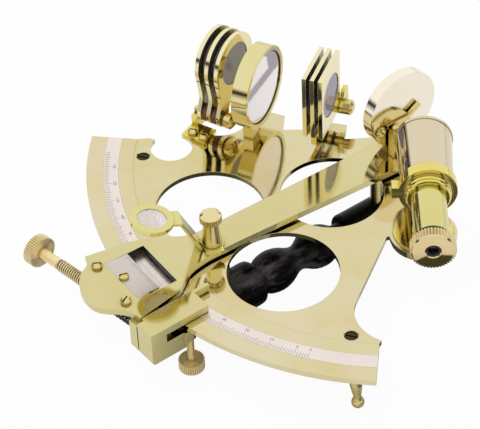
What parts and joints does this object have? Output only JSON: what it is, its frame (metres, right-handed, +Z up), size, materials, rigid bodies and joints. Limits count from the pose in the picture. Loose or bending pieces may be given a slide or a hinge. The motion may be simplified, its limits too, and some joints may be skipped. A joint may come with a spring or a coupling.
{
  "type": "sextant",
  "caption": "Brass sextant with arc and vernier, telescope, index and horizon mirrors, folding shades, clamp and tangent screw, magnifier and dark wooden handle.",
  "frame": {"origin": "centre of the third foot's resting face, under the index arm's pivot", "axes": "+Z up along the pivot axis, out of the arc's face; the graduated arc is towards -Y; +X towards the telescope"},
  "size_m": [0.2304, 0.2159, 0.104],
  "materials": {
    "frame_brass": "mirror polished",
    "polished_brass": "mirror polished",
    "arm_brass": "mirror polished",
    "gold_brass": "polished",
    "shade_brass": "polished",
    "silver_scale": "silvered, engraved",
    "dark_wood": "ebonised and polished",
    "brown_washer": "fibre",
    "spring_steel": "blackened wire",
    "mirror_glass": "silvered",
    "horizon_shade_glass": "neutral dark tint",
    "index_shade_glass": "neutral dark tint",
    "clear_glass": "clear"
  },
  "bodies": {
    "frame": {"frame_plate": "frame_brass", "horizon_mirror_cell": "polished_brass", "horizon_shade_bracket": "polished_brass", "index_shade_bracket": "polished_brass", "index_shade_spring": "polished_brass", "telescope_socket": "polished_brass", "outer_feet": "gold_brass", "foot_screws": "gold_brass", "pivot_socket": "gold_brass", "pivot_foot": "gold_brass", "handle_posts": "gold_brass", "horizon_mirror_foot": "gold_brass", "horizon_mirror_screws": "gold_brass", "horizon_shade_pin": "gold_brass", "index_shade_pin": "gold_brass", "bracket_screws": "gold_brass", "arc_scale": "silver_scale", "handle_grip": "dark_wood", "shade_washers": "brown_washer", "horizon_mirror_glass": "mirror_glass"},
    "telescope": {"telescope_ring": "polished_brass", "telescope_barrel": "polished_brass", "objective_lens": "clear_glass", "ring_screw": "gold_brass", "telescope_nut": "gold_brass"},
    "eyepiece": {"draw_tube": "polished_brass", "eyepiece_cap": "polished_brass", "eye_lens": "clear_glass"},
    "arm": {"index_arm": "arm_brass", "pivot_axle": "gold_brass", "axle_washer": "gold_brass", "vernier_plate": "silver_scale", "arm_screws": "gold_brass", "index_mirror_cell": "polished_brass", "index_mirror_glass": "mirror_glass", "index_mirror_bracket": "gold_brass", "index_mirror_screw": "gold_brass", "index_mirror_clip": "gold_brass", "tangent_blocks": "arm_brass", "tangent_spring": "spring_steel"},
    "tangent": {"tangent_screw": "gold_brass"},
    "clamp": {"clamp_block": "arm_brass"},
    "clamp_knob": {"clamp_screw": "gold_brass", "clamp_shoe": "gold_brass"},
    "magnifier": {"magnifier_arm": "polished_brass", "magnifier_lens": "clear_glass"},
    "thumbscrew": {"magnifier_thumbscrew": "gold_brass"},
    "horizon_shade_1_body": {"horizon_shade_1": "shade_brass", "horizon_glass_1": "horizon_shade_glass"},
    "index_shade_1_body": {"index_shade_1": "shade_brass", "index_glass_1": "index_shade_glass"},
    "horizon_shade_2_body": {"horizon_shade_2": "shade_brass", "horizon_glass_2": "horizon_shade_glass"},
    "index_shade_2_body": {"index_shade_2": "shade_brass", "index_glass_2": "index_shade_glass"},
    "horizon_shade_3_body": {"horizon_shade_3": "shade_brass", "horizon_glass_3": "horizon_shade_glass"},
    "index_shade_3_body": {"index_shade_3": "shade_brass", "index_glass_3": "index_shade_glass"}
  },
  "joints": [
    {"name": "index_arm_swing", "type": "hinge", "parent": "frame", "child": "arm", "pos_m": [0, 0, 0.05], "axis": [0, 0, 1], "range_deg": [-31, 35]},
    {"name": "telescope_swivel", "type": "hinge", "parent": "frame", "child": "telescope", "pos_m": [0.0522, -0.0267, 0.05], "axis": [0, 0, 1], "range_deg": [-15, 44]},
    {"name": "draw_tube_slide", "type": "slide", "parent": "telescope", "child": "eyepiece", "axis": [0.7912, -0.6115, 0], "range_m": [-0.012, 0.01]},
    {"name": "tangent_screw_turn", "type": "hinge", "parent": "arm", "child": "tangent", "pos_m": [0.02458, -0.16649, 0.045], "axis": [0.9893, 0.1461, 0], "range_deg": [0, 1080]},
    {"name": "clamp_creep", "type": "hinge", "parent": "arm", "child": "clamp", "pos_m": [0, 0, 0.05], "axis": [0, 0, 1], "range_deg": [0, 0.817]},
    {"name": "clamp_screw_turn", "type": "hinge", "parent": "clamp", "child": "clamp_knob", "pos_m": [0.027, -0.1533, 0.03], "axis": [0, 0, 1], "range_deg": [0, 180]},
    {"name": "magnifier_swing", "type": "hinge", "parent": "arm", "child": "magnifier", "pos_m": [-0.00357, -0.11578, 0.0545], "axis": [0, 0, 1], "range_deg": [-25, 25]},
    {"name": "thumbscrew_turn", "type": "hinge", "parent": "arm", "child": "thumbscrew", "pos_m": [-0.00357, -0.11578, 0.0545], "axis": [0, 0, 1], "range_deg": [0, 180]},
    {"name": "horizon_shade_1_fold", "type": "hinge", "parent": "frame", "child": "horizon_shade_1_body", "pos_m": [-0.07362, -0.05611, 0.0588], "axis": [0.9367, 0.3502, 0], "range_deg": [0, 90]},
    {"name": "horizon_shade_2_fold", "type": "hinge", "parent": "frame", "child": "horizon_shade_2_body", "pos_m": [-0.07362, -0.05611, 0.0588], "axis": [0.9367, 0.3502, 0], "range_deg": [0, 90]},
    {"name": "horizon_shade_3_fold", "type": "hinge", "parent": "frame", "child": "horizon_shade_3_body", "pos_m": [-0.07362, -0.05611, 0.0588], "axis": [0.9367, 0.3502, 0], "range_deg": [0, 90]},
    {"name": "index_shade_1_fold", "type": "hinge", "parent": "frame", "child": "index_shade_1_body", "pos_m": [-0.04025, -0.00498, 0.06155], "axis": [-0.848, -0.5299, 0], "range_deg": [0, 90]},
    {"name": "index_shade_2_fold", "type": "hinge", "parent": "frame", "child": "index_shade_2_body", "pos_m": [-0.04025, -0.00498, 0.06155], "axis": [-0.848, -0.5299, 0], "range_deg": [0, 90]},
    {"name": "index_shade_3_fold", "type": "hinge", "parent": "frame", "child": "index_shade_3_body", "pos_m": [-0.04025, -0.00498, 0.06155], "axis": [-0.848, -0.5299, 0], "range_deg": [0, 90]}
  ],
  "couplings": [
    {"joint": "clamp_creep", "follows": "tangent_screw_turn", "ratio": 0.000756}
  ]
}
